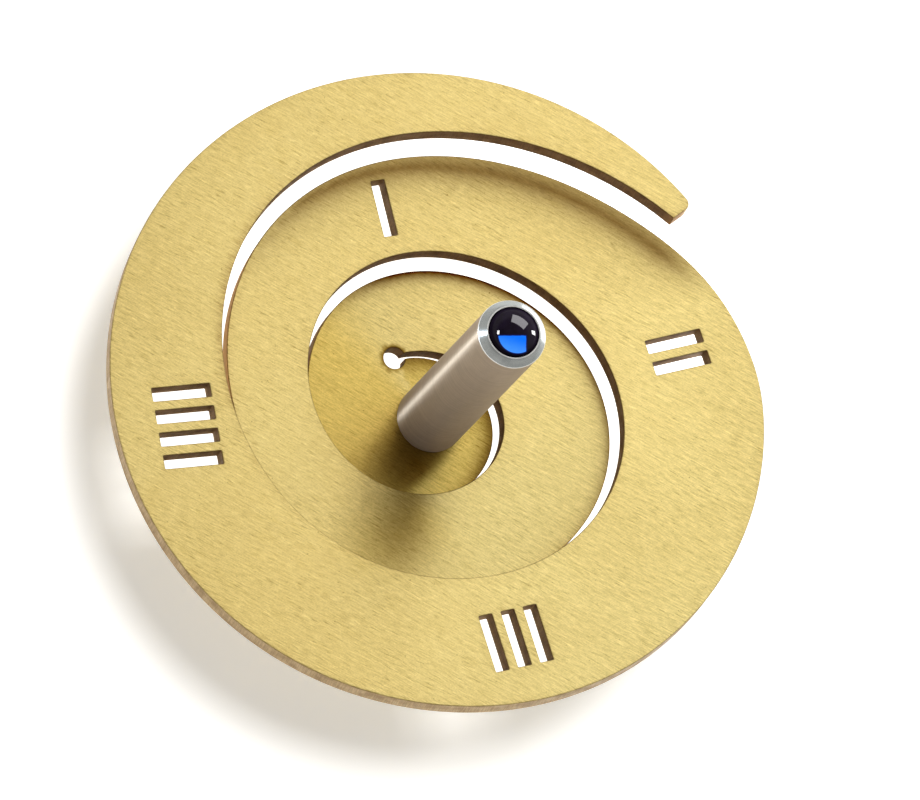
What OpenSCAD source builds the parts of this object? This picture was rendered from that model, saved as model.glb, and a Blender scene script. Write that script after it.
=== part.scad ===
// Spinning top. A round sheet disc is slit along a spiral and drawn down so that
// each inner turn sits lower than the one outside it. The flat middle of the disc is
// clamped between a turned handle stem and a pointed foot, and a glass cabochon
// sits in the free end of the stem.
// Origin: the point the top spins on. +Z is the spin axis, up the stem.
// +X points through the free end of the outer turn.

/* [Disc] */
// Outside diameter of the disc
disc_d = 68; // [62:1:80]
// Thickness of the sheet
sheet_t = 2; // [1.5:0.1:2]
// Height of the outer turn above the clamped middle
disc_drop = 5; // [5:0.1:7]
// Lean of the outer turn against the middle, degrees
disc_lean = 5.2; // [0:0.2:5.2]
// Sideways drift of the outer turn against the clamped middle
disc_drift = 1.8; // [0:0.1:1.8]
// Offset of the whole spiral from the spin axis
disc_offset = 0.35; // [0:0.05:0.4]

/* [Spiral cut] */
// Cut radius where the cut leaves the rim
cut_r_start = 29.6; // [29:0.1:30]
// Cut radius after half a turn
cut_r_half = 21.9; // [21.5:0.1:22.3]
// Cut radius after one turn
cut_r_one = 17; // [16.6:0.1:17.4]
// Cut radius after one and a half turns
cut_r_one_half = 11.2; // [10.8:0.1:11.6]
// Cut radius after two turns
cut_r_two = 6.6; // [6.4:0.1:7]
// Width of the cut near the rim
kerf_rim = 1.4; // [0.8:0.05:1.6]
// Width of the cut further in
kerf_in = 0.5; // [0.5:0.02:0.7]
// Diameter of the round hole that ends the cut
relief_d = 2.2; // [1.6:0.1:2.4]

/* [Counting marks] */
// Width of one bar
mark_w = 1.4; // [1:0.1:1.6]
// Length of one bar
mark_len = 6; // [4:0.5:6.5]
// Gap between two bars
mark_gap = 1; // [0.8:0.1:1.2]

/* [Stem] */
// Diameter of the handle stem
stem_d = 7; // [6:0.5:8]
// Length of the handle stem
stem_len = 30; // [22:1:40]
// Height of the bevel round the stem's free end
stem_bevel = 0.7; // [0.3:0.1:0.7]
// Width of the flat lip round the stone
lip_w = 0.2; // [0.15:0.05:0.3]

/* [Stone] */
// Diameter of the cabochon
stone_d = 5; // [4:0.1:5]
// Height of the dome above the lip
stone_dome = 1.2; // [0.8:0.1:1.6]
// Height of the straight edge held in the stem
stone_girdle = 1.25; // [1:0.05:2]

/* [Foot] */
// Height of the foot below the disc
foot_h = 9.5; // [7:0.5:14]
// Radius of the point the top spins on
foot_point_r = 0.8; // [0.5:0.1:1]
// Thread size of the stud that joins foot and stem
stud_d = 3; // [2.5:0.5:3]
// Length of the stud above the disc
stud_grip = 7; // [5:0.5:9]

/* [Hidden] */
$fn = 96;

gold   = [0.86, 0.77, 0.50];
satin  = [0.68, 0.66, 0.62];
blue   = [0.05, 0.22, 0.62];
silver = [0.85, 0.86, 0.88];
steel  = [0.62, 0.62, 0.61];

overcut = 1;                    // how far a cutter runs past the face it enters

// Heights
z_under = foot_h;               // underside of the clamped middle
z_hub   = z_under + sheet_t;    // top face of the clamped middle
z_top   = z_hub + stem_len;     // lip of the stem

// Stem, stone and foot
stem_r         = stem_d / 2;
edge_break     = 0.15;          // small chamfer on the turned edges
bore_d         = stud_d + 0.2;  // hole through the disc for the stud
stud_body_d    = stud_d - 0.08;
stud_end_gap   = 1;             // stem hole beyond the stud's end
stud_root      = 1;             // stud sunk into the foot
flange_h       = 1.2;           // foot's clamping flange
flange_step    = 0.5;           // flange radius beyond the top of the cone
point_segments = 8;
foil_t         = 0.15;
foil_d         = stone_d - 0.1;
seat_d         = stone_d + 0.1;
z_girdle       = z_top - stone_girdle;
z_seat         = z_girdle - foil_t;

// Disc and spiral; v and u count turns from the free end
disc_r        = disc_d / 2;
plan_scale    = disc_d / 68;    // the cut and the mark radii grow with the disc
cut_turns     = 2.225;          // length of the cut
turn_steps    = 96;             // stations in each turn
end_r         = 0.9;            // rounding of the free end's outer corner
spiral_offset = disc_offset * [cos(100.4), sin(100.4), 0];

// Counting marks: [number of bars, radius of their centre, angle]
marks = [[1, 21.8, 64.3], [2, 26.4, -22], [3, 25.6, -112.6], [4, 26.3, 150.1]];
mark_cut_h = disc_drop + sheet_t + 8;

// ---- plan of the cut ----

// Quartic in x through five radii at x = 0, 1, 2, 3, 4
function quartic(x, r) =
      r[0] * (x - 1) * (x - 2) * (x - 3) * (x - 4) / 24
    - r[1] * x * (x - 2) * (x - 3) * (x - 4) / 6
    + r[2] * x * (x - 1) * (x - 3) * (x - 4) / 4
    - r[3] * x * (x - 1) * (x - 2) * (x - 4) / 6
    + r[4] * x * (x - 1) * (x - 2) * (x - 3) / 24;

half_turn_radii = [cut_r_start, cut_r_half, cut_r_one, cut_r_one_half, cut_r_two];

// Departures of the cut from an even spiral: [amplitude, lobes, phase].
// One lobe shifts the centre. All fade out towards the middle.
centre_shift = [2.19, 1, 28.3];
mid_shift    = [3.93, 1, -135.2];   // zero at the free end, strongest halfway in
two_lobes    = [0.77, 2, 159.4];
three_lobes  = [0.32, 3, 109.1];
waver_end    = 2.3;             // turns at which the waver has faded out
waver_max    = 1.2;

function wave(term, u) = term[0] * cos(term[1] * 360 * u + term[2]);
function waver_fade(u) = min(waver_max, max(0, 1 - u / waver_end));
function waver(u) =
    let (fade = waver_fade(u))
    fade * (wave(centre_shift, u) + (1 - fade) * wave(mid_shift, u)
          + wave(two_lobes, u) + wave(three_lobes, u));
function cut_r(u) = plan_scale * (quartic(2 * u, half_turn_radii) + waver(u));

// Width of the cut, narrowing inwards
kerf_end = 1.244;               // turns at which the inner width is reached
kerf_fade_max = 1.5;
function kerf(u) =
    kerf_in + (kerf_rim - kerf_in) * pow(min(kerf_fade_max, max(0, 1 - u / kerf_end)), 2);

// ---- edges of the strip ----

// The rim, rounded at the free end
function rim_r(v) =
    let (along = 2 * PI * disc_r * v)
    along < end_r ? disc_r - end_r + sqrt(max(0, end_r * end_r - pow(end_r - along, 2)))
    : disc_r;

// Extra fullness of the strip beside the free end
swell_size  = 0.58 * plan_scale;
swell_at    = 0.962;            // turns
swell_width = 0.046;            // turns
function swell(v) = swell_size * exp(-pow((v - swell_at) / swell_width, 2));

// Inner side of the cut made one turn earlier
function cut_side_r(v) = cut_r(v - 1) - kerf(v - 1) / 2 + swell(v);

// The smaller of two radii, with a soft changeover
blend = 0.5;
function soft_min(a, b) = (a + b - sqrt((a - b) * (a - b) + blend * blend)) / 2;

// Outer edge: the rim, then a changeover, then the cut
blend_from = 0.75;              // turns
blend_to   = 1.1;               // turns
function outer_r(v) =
    v < blend_from ? rim_r(v)
    : v < blend_to ? soft_min(disc_r, cut_side_r(v))
    : cut_side_r(v);
function inner_r(v) = cut_r(v) + kerf(v) / 2;

// ---- drawing down ----

flat_turns = 0.616;             // the outer turn stays flat this far round
ease_knee  = 0.12;
fall_curve = [2.79, -5.222, 3.432];     // cubic's linear, square and cube terms
lean_dir   = -80.2;
drift_dir  = 46.3;
lean_slope = tan(disc_lean) * [cos(lean_dir), sin(lean_dir)];
drift      = disc_drift * [cos(drift_dir), sin(drift_dir)];

function ease(x) = (1 + ease_knee) * x * x / (x + ease_knee);

// Share of the full height: 1 on the flat outer turn, 0 on the clamped middle
function height_share(v) =
    let (x = min(1, max(0, (v - flat_turns) / (cut_turns - flat_turns))),
         t = 1 - ease(1 - ease(x)))
    1 - fall_curve * [t, t * t, t * t * t];

// Point on the top face at radius r, v turns round
function top_point(r, v) =
    let (share = height_share(v),
         flat = r * [cos(360 * v), sin(360 * v)],
         plan = flat + share * drift)
    spiral_offset + [plan.x, plan.y, z_hub + share * (disc_drop + lean_slope * flat)];

// Point on the underside, one sheet thickness square below a top point
function under_point(top, v) =
    let (tilt = -height_share(v) * lean_slope, normal = [tilt.x, tilt.y, 1])
    top - sheet_t * normal / norm(normal);

// ---- sheet as one polyhedron ----

// Stations along the strip, close together round the free end's corner,
// then one more turn round the clamped middle
end_steps = [0, 0.06, 0.15, 0.3, 0.5, 0.75];    // in corner radii along the rim
strip_v = concat([for (s = end_steps) s * end_r / (2 * PI * disc_r)],
                 [for (i = [1 : floor(cut_turns * turn_steps)]) i / turn_steps]);
hub_v   = [for (i = [0 : turn_steps]) cut_turns + i / turn_steps];
all_v   = concat(strip_v, hub_v);
cut_end = len(strip_v);         // index of the station where the cut ends
last    = cut_end + turn_steps; // index of the last station

// Two triangles on the diagonal a-c
function quad(a, b, c, d) = [[a, b, c], [a, c, d]];

module sheet() {
    outer_top   = [for (v = all_v) top_point(outer_r(v), v)];
    outer_under = [for (i = [0 : last]) under_point(outer_top[i], all_v[i])];
    inner_top   = [for (i = [0 : cut_end]) top_point(inner_r(all_v[i]), all_v[i])];
    inner_under = [for (i = [0 : cut_end]) under_point(inner_top[i], all_v[i])];
    centres     = [[0, 0, z_hub], [0, 0, z_under]];

    // Index of the first point of each list: outer and inner edge and centre,
    // each on the top and the underside
    ot = 0;
    ou = last + 1;
    it = 2 * (last + 1);
    iu = it + cut_end + 1;
    ct = iu + cut_end + 1;
    cu = ct + 1;

    strip = [for (i = [0 : cut_end - 1]) each concat(
        quad(ot + i, it + i, it + i + 1, ot + i + 1),
        quad(ou + i, ou + i + 1, iu + i + 1, iu + i),
        quad(it + i, iu + i, iu + i + 1, it + i + 1))];
    outer_wall = [for (i = [0 : last - 1]) each
        quad(ot + i, ot + i + 1, ou + i + 1, ou + i)];
    ends = concat(
        quad(it, ot, ou, iu),
        quad(ot + last, it + cut_end, iu + cut_end, ou + last));
    middle = [for (i = [cut_end + 1 : last - 1]) each [
        [ct, ot + i + 1, ot + i],
        [cu, ou + i, ou + i + 1]]];
    // Closes the middle against the inner end of the strip
    join = [
        [ot + cut_end + 1, ot + cut_end, it + cut_end],
        [ot + cut_end + 1, it + cut_end, ot + last],
        [ot + cut_end + 1, ot + last, ct],
        [ou + cut_end + 1, iu + cut_end, ou + cut_end],
        [ou + cut_end + 1, ou + last, iu + cut_end],
        [ou + cut_end + 1, cu, ou + last]];
    polyhedron(points = concat(outer_top, outer_under, inner_top, inner_under, centres),
        faces = concat(strip, outer_wall, ends, middle, join), convexity = 12);
}

// Row of radial bars side by side
module bars(count, radius, angle) {
    pitch = mark_w + mark_gap;
    rotate([0, 0, angle])
        for (k = [0 : count - 1])
            translate([radius * plan_scale - mark_len / 2,
                       (k - (count - 1) / 2) * pitch - mark_w / 2,
                       z_under - overcut])
                cube([mark_len, mark_w, mark_cut_h]);
}

module spiral_disc() {
    color(gold)
    difference() {
        sheet();
        translate([0, 0, z_under - overcut])
            cylinder(h = sheet_t + 2 * overcut, d = bore_d);
        translate(spiral_offset) {
            rotate([0, 0, 360 * cut_turns])
                translate([cut_r(cut_turns), 0, z_under - overcut])
                    cylinder(h = sheet_t + 3 * overcut, d = relief_d);
            for (mark = marks)
                bars(count = mark[0], radius = mark[1], angle = mark[2]);
        }
    }
}

module stem() {
    lip_r = seat_d / 2 + lip_w;
    color(satin)
    difference() {
        rotate_extrude()
            polygon([[0, z_hub], [stem_r - edge_break, z_hub], [stem_r, z_hub + edge_break],
                     [stem_r, z_top - stem_bevel], [lip_r, z_top], [0, z_top]]);
        translate([0, 0, z_hub - overcut])
            cylinder(h = overcut + stud_grip + stud_end_gap, d = stud_d);
        translate([0, 0, z_seat]) cylinder(h = z_top - z_seat + overcut, d = seat_d);
    }
}

module cabochon() {
    stone_r = stone_d / 2;
    ball_r = (stone_r * stone_r + stone_dome * stone_dome) / (2 * stone_dome);
    color(blue)
    union() {
        translate([0, 0, z_girdle]) cylinder(h = stone_girdle, r = stone_r);
        intersection() {
            translate([0, 0, z_top + stone_dome - ball_r]) sphere(r = ball_r);
            translate([0, 0, z_top]) cylinder(h = stone_dome + overcut, r = stone_r);
        }
    }
}

module foil_backing() {
    color(silver)
    translate([0, 0, z_seat]) cylinder(h = foil_t, d = foil_d);
}

module foot() {
    cone_r = stem_r - flange_step;
    cone_h = foot_h - flange_h;
    // The rounded point meets the cone where the cone is tangent to it
    tangent = atan2(cone_h - foot_point_r, cone_r)
            - acos(foot_point_r / norm([cone_r, cone_h - foot_point_r]));
    flange = [
        [0, foot_h], [stem_r - edge_break, foot_h], [stem_r, foot_h - edge_break],
        [stem_r, cone_h + edge_break], [stem_r - edge_break, cone_h], [cone_r, cone_h]];
    point = [for (k = [0 : point_segments - 1])
        let (a = tangent + (-90 - tangent) * k / point_segments)
        foot_point_r * [cos(a), 1 + sin(a)]];
    color(steel)
    union() {
        rotate_extrude() polygon(concat(flange, point, [[0, 0]]));
        translate([0, 0, foot_h - stud_root])
            cylinder(h = stud_root + sheet_t + stud_grip, d = stud_body_d);
    }
}

spiral_disc();
stem();
cabochon();
foil_backing();
foot();
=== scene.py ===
"""A slit and drawn spiral sheet on a pointed foot, with a turned stem and a glass cabochon.

The turning axis is Z and the foot's point stands on the floor at z = 0. The sheet's clamped middle
lies with its top face at z = 11.5; the stem rises from it and holds the cabochon. The spiral cut
winds inward anticlockwise (seen from above) from the free end at +X, and the free end is lifted.
Sizes are in millimetres, scaled to metres when meshes, lights and the camera are placed.
"""
import bpy, math
import numpy as np
from mathutils import Matrix, Vector
from mathutils.geometry import delaunay_2d_cdt


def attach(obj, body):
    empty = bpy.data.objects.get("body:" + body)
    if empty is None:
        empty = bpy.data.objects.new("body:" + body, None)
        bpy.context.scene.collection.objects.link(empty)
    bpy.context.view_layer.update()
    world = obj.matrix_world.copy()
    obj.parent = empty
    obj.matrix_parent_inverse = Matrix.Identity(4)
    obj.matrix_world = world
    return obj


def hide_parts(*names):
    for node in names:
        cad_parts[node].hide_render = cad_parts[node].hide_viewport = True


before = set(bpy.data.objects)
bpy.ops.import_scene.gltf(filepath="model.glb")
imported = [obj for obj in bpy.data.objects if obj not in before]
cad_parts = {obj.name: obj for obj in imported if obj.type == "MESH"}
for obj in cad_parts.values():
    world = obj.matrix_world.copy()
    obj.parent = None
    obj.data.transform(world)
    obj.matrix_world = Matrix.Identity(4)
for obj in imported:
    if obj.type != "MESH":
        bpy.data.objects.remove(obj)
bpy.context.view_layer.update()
MM = 0.001
TAU = 2 * math.pi


def polar(length, degrees):
    angle = math.radians(degrees)
    return np.array([length * math.cos(angle), length * math.sin(angle)])


# ---------------------------------------------------------------- driving dimensions
RIM_R = 34.0
TOP_Z = 11.5                       # top face of the sheet where it is clamped
SHEET = 2.0                        # sheet thickness
TURNS = 2.225                      # length of the cut, in turns from the free end
FADE = 2.3                         # turns over which the cut's wander dies out
FLAT = 0.616                       # turns from the free end that share the full lift
KERF_OUT, KERF_IN = 1.4, 0.5       # width of the cut at the rim and far in
KERF_TURNS = 1.244                 # turns over which it narrows
END_R = 0.9                        # rounding of the free end's outer corner
CUT_RADII = (29.6, 21.9, 17.0, 11.2, 6.6)   # cut radius at every half turn
LIFT = 5.0                         # rise of the free end
LEAN_X, LEAN_Y = polar(math.tan(math.radians(5.2)), -80.2)   # slope of the lifted end
DRIFT = polar(1.8, 46.3)           # sideways shift of the lifted end
OFFSET = polar(0.35, 100.4)        # the whole sheet sits this far off the axis
BORE_R = 1.6
RELIEF_R = 1.1                     # hole at the inner end of the cut
ROD_R = 3.5                        # stem and foot collar
ROD_EDGE = 0.15                    # their chamfers
STEM_TOP = 41.5
SEAT_Z = 40.1                      # floor of the stem's recess

# Rings from the top face over the sheet's edge to the underside:
# inset from the outline, depth below the top, share of a quarter turn the normal leans outward.
BREAK = 0.11
RINGS = [
    (BREAK, 0.0, 0.0), (0.293 * BREAK, 0.293 * BREAK, 0.5), (0.0, BREAK, 1.0),
    (0.0, SHEET / 2, 1.0), (0.0, SHEET - BREAK, 1.0),
    (0.293 * BREAK, SHEET - 0.293 * BREAK, 0.5), (BREAK, SHEET, 0.0),
]
OUTLINE_INSET = 0.025              # keeps the finer outline inside the CAD's own
UV_SPAN = 100                      # millimetres of plan per UV unit
GRAIN = math.radians(66.0)         # turn that lays the brushing along x

# ---------------------------------------------------------------- view axes
# Seen in view axes (right, up, towards the camera), the object's Z leans VIEW_TILT from the
# line of sight, towards VIEW_AZIMUTH from the right; the plan is turned by VIEW_TURN about Z.
VIEW_TILT, VIEW_AZIMUTH, VIEW_TURN = (math.radians(a) for a in (23.6, 46.0, -39.2))


def view_matrix():
    """Matrix whose columns are the view axes in the object's frame."""
    up_axis = np.array([math.sin(VIEW_TILT) * math.cos(VIEW_AZIMUTH),
                        math.sin(VIEW_TILT) * math.sin(VIEW_AZIMUTH), math.cos(VIEW_TILT)])
    side = np.array([1.0, 0, 0]) - up_axis * up_axis[0]
    side /= np.linalg.norm(side)
    cos_turn, sin_turn = math.cos(VIEW_TURN), math.sin(VIEW_TURN)
    turn = np.array([[cos_turn, -sin_turn, 0], [sin_turn, cos_turn, 0], [0, 0, 1]])
    return turn @ np.stack([side, np.cross(up_axis, side), up_axis])


VIEW = view_matrix()
HUB = np.array([0, 0, TOP_Z])


def from_view(direction):
    return VIEW @ np.asarray(direction, float)


# ---------------------------------------------------------------- mesh helpers
def new_object(name, verts_mm, faces, materials, face_mats, loop_uv,
               loop_normals=None, smooth_angle=None):
    mesh = bpy.data.meshes.new(name)
    mesh.from_pydata([tuple(float(c) * MM for c in p) for p in verts_mm], [], faces)
    for material in materials:
        mesh.materials.append(material)
    mesh.polygons.foreach_set("material_index", np.asarray(face_mats, np.int32))
    mesh.polygons.foreach_set("use_smooth", np.ones(len(mesh.polygons), bool))
    layer = mesh.uv_layers.new(name="UVMap")
    layer.data.foreach_set("uv", np.asarray(loop_uv, np.float32).ravel())
    mesh.update()
    if loop_normals is not None:
        mesh.normals_split_custom_set([tuple(map(float, n)) for n in loop_normals])
    else:
        mesh.set_sharp_from_angle(angle=math.radians(smooth_angle))
    obj = bpy.data.objects.new(name, mesh)
    bpy.context.scene.collection.objects.link(obj)
    return obj


def register(obj, cad_name):
    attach(obj, "root")
    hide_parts(cad_name)


def lathe(name, profile, materials, segments, smooth_angle=28, part_of=None):
    """Turns a profile (r, z), solid on its left, about Z; it starts and ends on the axis.

    part_of(r, z) gives the material index of the band whose middle is at (r, z).
    """
    verts, rings = [], []
    for radius, z in profile:
        count = 1 if radius < 1e-6 else segments
        rings.append(range(len(verts), len(verts) + count))
        for k in range(count):
            angle = TAU * k / segments
            on_axis = count == 1
            verts.append((0, 0, z) if on_axis
                         else (radius * math.cos(angle), radius * math.sin(angle), z))
    faces, uv, face_mats = [], [], []
    run = 0.0
    for (r0, z0), (r1, z1), low, high in zip(profile, profile[1:], rings, rings[1:]):
        end = run + math.hypot(r1 - r0, z1 - z0)
        part = part_of((r0 + r1) / 2, (z0 + z1) / 2) if part_of else 0
        for k in range(segments):
            k2 = (k + 1) % segments
            u0, u1 = k / segments, (k + 1) / segments
            if len(low) == 1:
                faces.append([low[0], high[k2], high[k]])
                uv += [(u0, run), (u1, end), (u0, end)]
            elif len(high) == 1:
                faces.append([low[k], low[k2], high[0]])
                uv += [(u0, run), (u1, run), (u0, end)]
            else:
                faces.append([low[k], low[k2], high[k2], high[k]])
                uv += [(u0, run), (u1, run), (u1, end), (u0, end)]
            face_mats.append(part)
        run = end
    return new_object(name, verts, faces, materials, face_mats, uv, smooth_angle=smooth_angle)


def fillet(stations, steps):
    """Rounds the inner corners of an open line of stations (r, z, rounding radius)."""
    out = [stations[0][:2]]
    for before, here, after in zip(stations, stations[1:], stations[2:]):
        corner = np.array(here[:2], float)
        back, ahead = np.array(before[:2]) - corner, np.array(after[:2]) - corner
        back_len, ahead_len = np.linalg.norm(back), np.linalg.norm(ahead)
        back, ahead = back / back_len, ahead / ahead_len
        half = math.acos(max(-1, min(1, float(back @ ahead)))) / 2
        tangent = min(here[2] / math.tan(half), 0.49 * back_len, 0.49 * ahead_len)
        radius = tangent * math.tan(half)
        bisector = (back + ahead) / np.linalg.norm(back + ahead)
        centre = corner + bisector * radius / math.sin(half)
        first, last = corner + back * tangent - centre, corner + ahead * tangent - centre
        start = math.atan2(first[1], first[0])
        sweep = (math.atan2(last[1], last[0]) - start + math.pi) % TAU - math.pi
        for k in range(steps + 1):
            angle = start + sweep * k / steps
            out.append((centre[0] + radius * math.cos(angle),
                        centre[1] + radius * math.sin(angle)))
    out.append(stations[-1][:2])
    return out


# ---------------------------------------------------------------- shader helpers
class Nodes:
    """Builds the node tree of a material or world."""

    def __init__(self, block, output="OutputMaterial"):
        self.block = block
        block.use_nodes = True
        self.tree = block.node_tree
        self.tree.nodes.clear()
        self.count = 0
        self.out = self.node(output)

    def put(self, socket, value):
        if isinstance(value, bpy.types.NodeSocket):
            self.tree.links.new(value, socket)
            return
        if socket.type == "RGBA" and len(value) == 3:
            value = (*value, 1)
        socket.default_value = value

    def node(self, kind, inputs={}, **settings):
        node = self.tree.nodes.new("ShaderNode" + kind)
        self.count += 1
        node.location = (60 * self.count - 1800, 300 - 90 * (self.count % 9))
        for key, value in settings.items():
            setattr(node, key, value)
        for key, value in inputs.items():
            self.put(node.inputs[key], value)
        return node

    def finish(self, shader):
        self.put(self.out.inputs[0], shader)
        return self.block

    def math(self, operation, first, second=0.0, third=None, clamp=False):
        inputs = {0: first, 1: second}
        if third is not None:
            inputs[2] = third
        return self.node("Math", inputs, operation=operation, use_clamp=clamp).outputs[0]

    def around(self, noise, amount, base):
        """base + amount * (noise - 0.5)"""
        return self.math("MULTIPLY_ADD", self.math("SUBTRACT", noise, 0.5), amount, base)

    def hypot(self, x, y):
        return self.math("SQRT", self.math("ADD", self.math("MULTIPLY", x, x),
                                           self.math("MULTIPLY", y, y)))

    def vector(self, operation, first, second=(0, 0, 0)):
        node = self.node("VectorMath", {0: first, 1: second}, operation=operation)
        return node.outputs["Value" if operation in ("DOT_PRODUCT", "LENGTH") else 0]

    def split(self, vector):
        return self.node("SeparateXYZ", {0: vector}).outputs

    def combine(self, x, y, z=0.0):
        return self.node("CombineXYZ", {0: x, 1: y, 2: z}).outputs[0]

    def mapping(self, vector, scale=(1, 1, 1), shift=(0, 0, 0), turn=(0, 0, 0)):
        return self.node("Mapping", {"Vector": vector, "Scale": scale, "Rotation": turn,
                                     "Location": shift}).outputs[0]

    def object_coords(self):
        return self.node("TexCoord").outputs["Object"]

    def object_mm(self):
        return self.mapping(self.object_coords(), scale=(1000, 1000, 1000))

    def uv_mm(self):
        return self.mapping(self.node("UVMap", uv_map="UVMap").outputs[0],
                            scale=(UV_SPAN, UV_SPAN, 1))

    def attribute(self, name):
        return self.node("Attribute", attribute_name=name).outputs["Fac"]

    def noise(self, vector, scale=None, shift=(0, 0, 0), turn=(0, 0, 0), detail=2, rough=0.5):
        if scale:
            vector = self.mapping(vector, scale, shift, turn)
        return self.node("TexNoise", {"Vector": vector, "Scale": 1.0, "Detail": detail,
                                      "Roughness": rough}).outputs[0]

    def step(self, value, over, to=(0.0, 1.0)):
        """Smooth step as value runs over a range."""
        return self.node("MapRange", {"Value": value, "From Min": over[0], "From Max": over[1],
                                      "To Min": to[0], "To Max": to[1]},
                         interpolation_type="SMOOTHSTEP").outputs[0]

    def mix(self, factor, first, second, kind="MIX"):
        return self.node("Mix", {0: factor, 6: first, 7: second},
                         data_type="RGBA", blend_type=kind).outputs[2]

    def multiply(self, colour, channels):
        factors = self.node("CombineColor", dict(enumerate(channels))).outputs[0]
        return self.mix(1.0, colour, factors, "MULTIPLY")

    def bump(self, height, strength, distance, **normal):
        """distance is in metres."""
        return self.node("Bump", {"Strength": strength, "Distance": distance,
                                  "Height": height, **normal}).outputs[0]

    def shader(self, kind, **inputs):
        named = {key.replace("_", " "): value for key, value in inputs.items()}
        return self.node(kind, named).outputs[0]

    def mix_shader(self, factor, first, second):
        return self.node("MixShader", {0: factor, 1: first, 2: second}).outputs[0]


def material(name):
    return Nodes(bpy.data.materials.new(name))


def srgb(*channels):
    """8-bit sRGB to linear."""
    return tuple(c / 255 / 12.92 if c / 255 <= 0.04045 else ((c / 255 + 0.055) / 1.055) ** 2.4
                 for c in channels)


# ---------------------------------------------------------------- materials
GOLD_A, GOLD_B = (0.665, 0.505, 0.160), (0.705, 0.548, 0.185)
# deeper gold painted where the clamped middle and the stem's lee lie in shade
GOLD_IN_SHADE = (0.655, 0.465, 0.104)
EDGE_BROWN = (0.27, 0.150, 0.042)


def gold_sheet():
    """Lacquered gold-toned sheet with linear brushing over the whole flat blank, and painted shade
    read from the mesh's attributes.
    """
    mat = material("gold_sheet_brushed")
    plan = mat.uv_mm()
    # the strokes wander a few degrees either way over the blank
    way = mat.noise(plan, scale=(0.045, 0.045, 1), shift=(2, 4, 0), detail=1)
    along, across, _ = mat.split(mat.mapping(plan, turn=(0, 0, GRAIN)))
    wander = mat.math("MULTIPLY", mat.math("SUBTRACT", way, 0.5), along)
    grain = mat.combine(along, mat.math("MULTIPLY_ADD", wander, 0.05, across))

    fine = mat.noise(grain, scale=(1.1, 7.4, 1), rough=0.55)
    medium = mat.noise(grain, scale=(0.42, 4.0, 1), shift=(7, 3, 0))
    long = mat.noise(grain, scale=(0.06, 1.9, 1), shift=(31, 11, 0), detail=3)
    dust = mat.noise(plan, scale=(5.5, 5.5, 1), shift=(11, 29, 0), detail=1)
    slow = mat.noise(plan, scale=(0.05, 0.05, 1), shift=(3, 8, 0))
    patch = mat.noise(plan, scale=(0.11, 0.11, 1), shift=(33, 18, 0))
    # separate short strokes, dark and light; the dark ones are thicker in some patches
    dark = mat.noise(grain, scale=(0.75, 6.1, 1), shift=(91, 47, 0), detail=1, rough=0.45)
    light = mat.noise(grain, scale=(0.7, 5.6, 1), shift=(17, 63, 0), detail=1, rough=0.45)
    thick = mat.step(patch, over=(0.35, 0.65), to=(0, 0.06))
    dark = mat.step(mat.math("ADD", dark, thick), over=(0.62, 0.78))
    light = mat.step(light, over=(0.60, 0.76))
    speck = mat.noise(plan, scale=(3.4, 3.4, 1), shift=(5, 5, 0), detail=1, rough=0.3)
    speck = mat.step(speck, over=(0.75, 0.80))
    edge, tarnished, middle = (mat.attribute(n) for n in ("edge", "tarnish", "middle"))

    colour = mat.mix(mat.step(slow, over=(0.3, 0.7)), GOLD_A, GOLD_B)
    # painted shade: the clamped middle and the stem's lee go a deeper gold
    colour = mat.mix(middle, colour, GOLD_IN_SHADE)
    # brightness: each field and how much it counts
    tone = 1.0
    for field, amount in ((fine, 0.62), (medium, 0.52), (long, 0.16), (dust, 0.34)):
        tone = mat.around(field, amount, tone)
    for field, amount in ((dark, -0.21), (light, 0.15), (speck, -0.30)):
        tone = mat.math("MULTIPLY_ADD", field, amount, tone)
    # blue swings most with brightness, red least
    colour = mat.multiply(colour, [
        mat.math("MULTIPLY_ADD", mat.math("SUBTRACT", tone, 1.0), gain, 1.0)
        for gain in (1.25, 1.40, 2.05)])
    # the edges go browner, in strokes
    strokes = mat.math("MULTIPLY_ADD", medium, 0.5, mat.math("MULTIPLY", fine, 0.5))
    fringed = mat.math("MULTIPLY", edge, mat.step(strokes, over=(0.36, 0.56), to=(1.0, 0.35)))
    colour = mat.mix(mat.math("MULTIPLY", fringed, 0.85, clamp=True), colour, EDGE_BROWN)
    # painted shade takes out most from blue
    soft = mat.math("MULTIPLY", tarnished, mat.around(medium, 0.25, 1.0))
    colour = mat.multiply(colour, [
        mat.math("SUBTRACT", 1.0, mat.math("MULTIPLY", soft, loss), clamp=True)
        for loss in (1.0, 1.10, 1.22)])

    # relief of the strokes, by weight
    height = mat.math("MULTIPLY_ADD", medium, 0.8, fine)
    height = mat.math("SUBTRACT", height, mat.math("MULTIPLY", dark, 0.4))
    height = mat.math("ADD", height, mat.math("MULTIPLY", light, 0.25))
    normal = mat.bump(height, strength=0.20, distance=3e-5)
    # painted shade and the painted deeper middle thin the coat, taking its white sheen out; the
    # browned edges thin it too
    coat_loss = mat.math("ADD", mat.math("MULTIPLY_ADD", middle, 0.5, tarnished), fringed)
    metal = mat.shader(
        "BsdfPrincipled", Base_Color=colour, Metallic=1.0,
        Roughness=mat.around(medium, 0.16, 0.42), Anisotropic=0.45, Anisotropic_Rotation=0.25,
        Normal=normal, Coat_Weight=mat.math("SUBTRACT", 1.0, coat_loss, clamp=True),
        Coat_Roughness=0.42, Coat_IOR=1.5,
        Tangent=mat.node("Tangent", direction_type="UV_MAP", uv_map="Grain").outputs[0])
    matt = mat.shader("BsdfDiffuse", Color=colour, Normal=normal)
    matt_share = 0.08
    return mat.finish(mat.mix_shader(matt_share, metal, matt))


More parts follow.
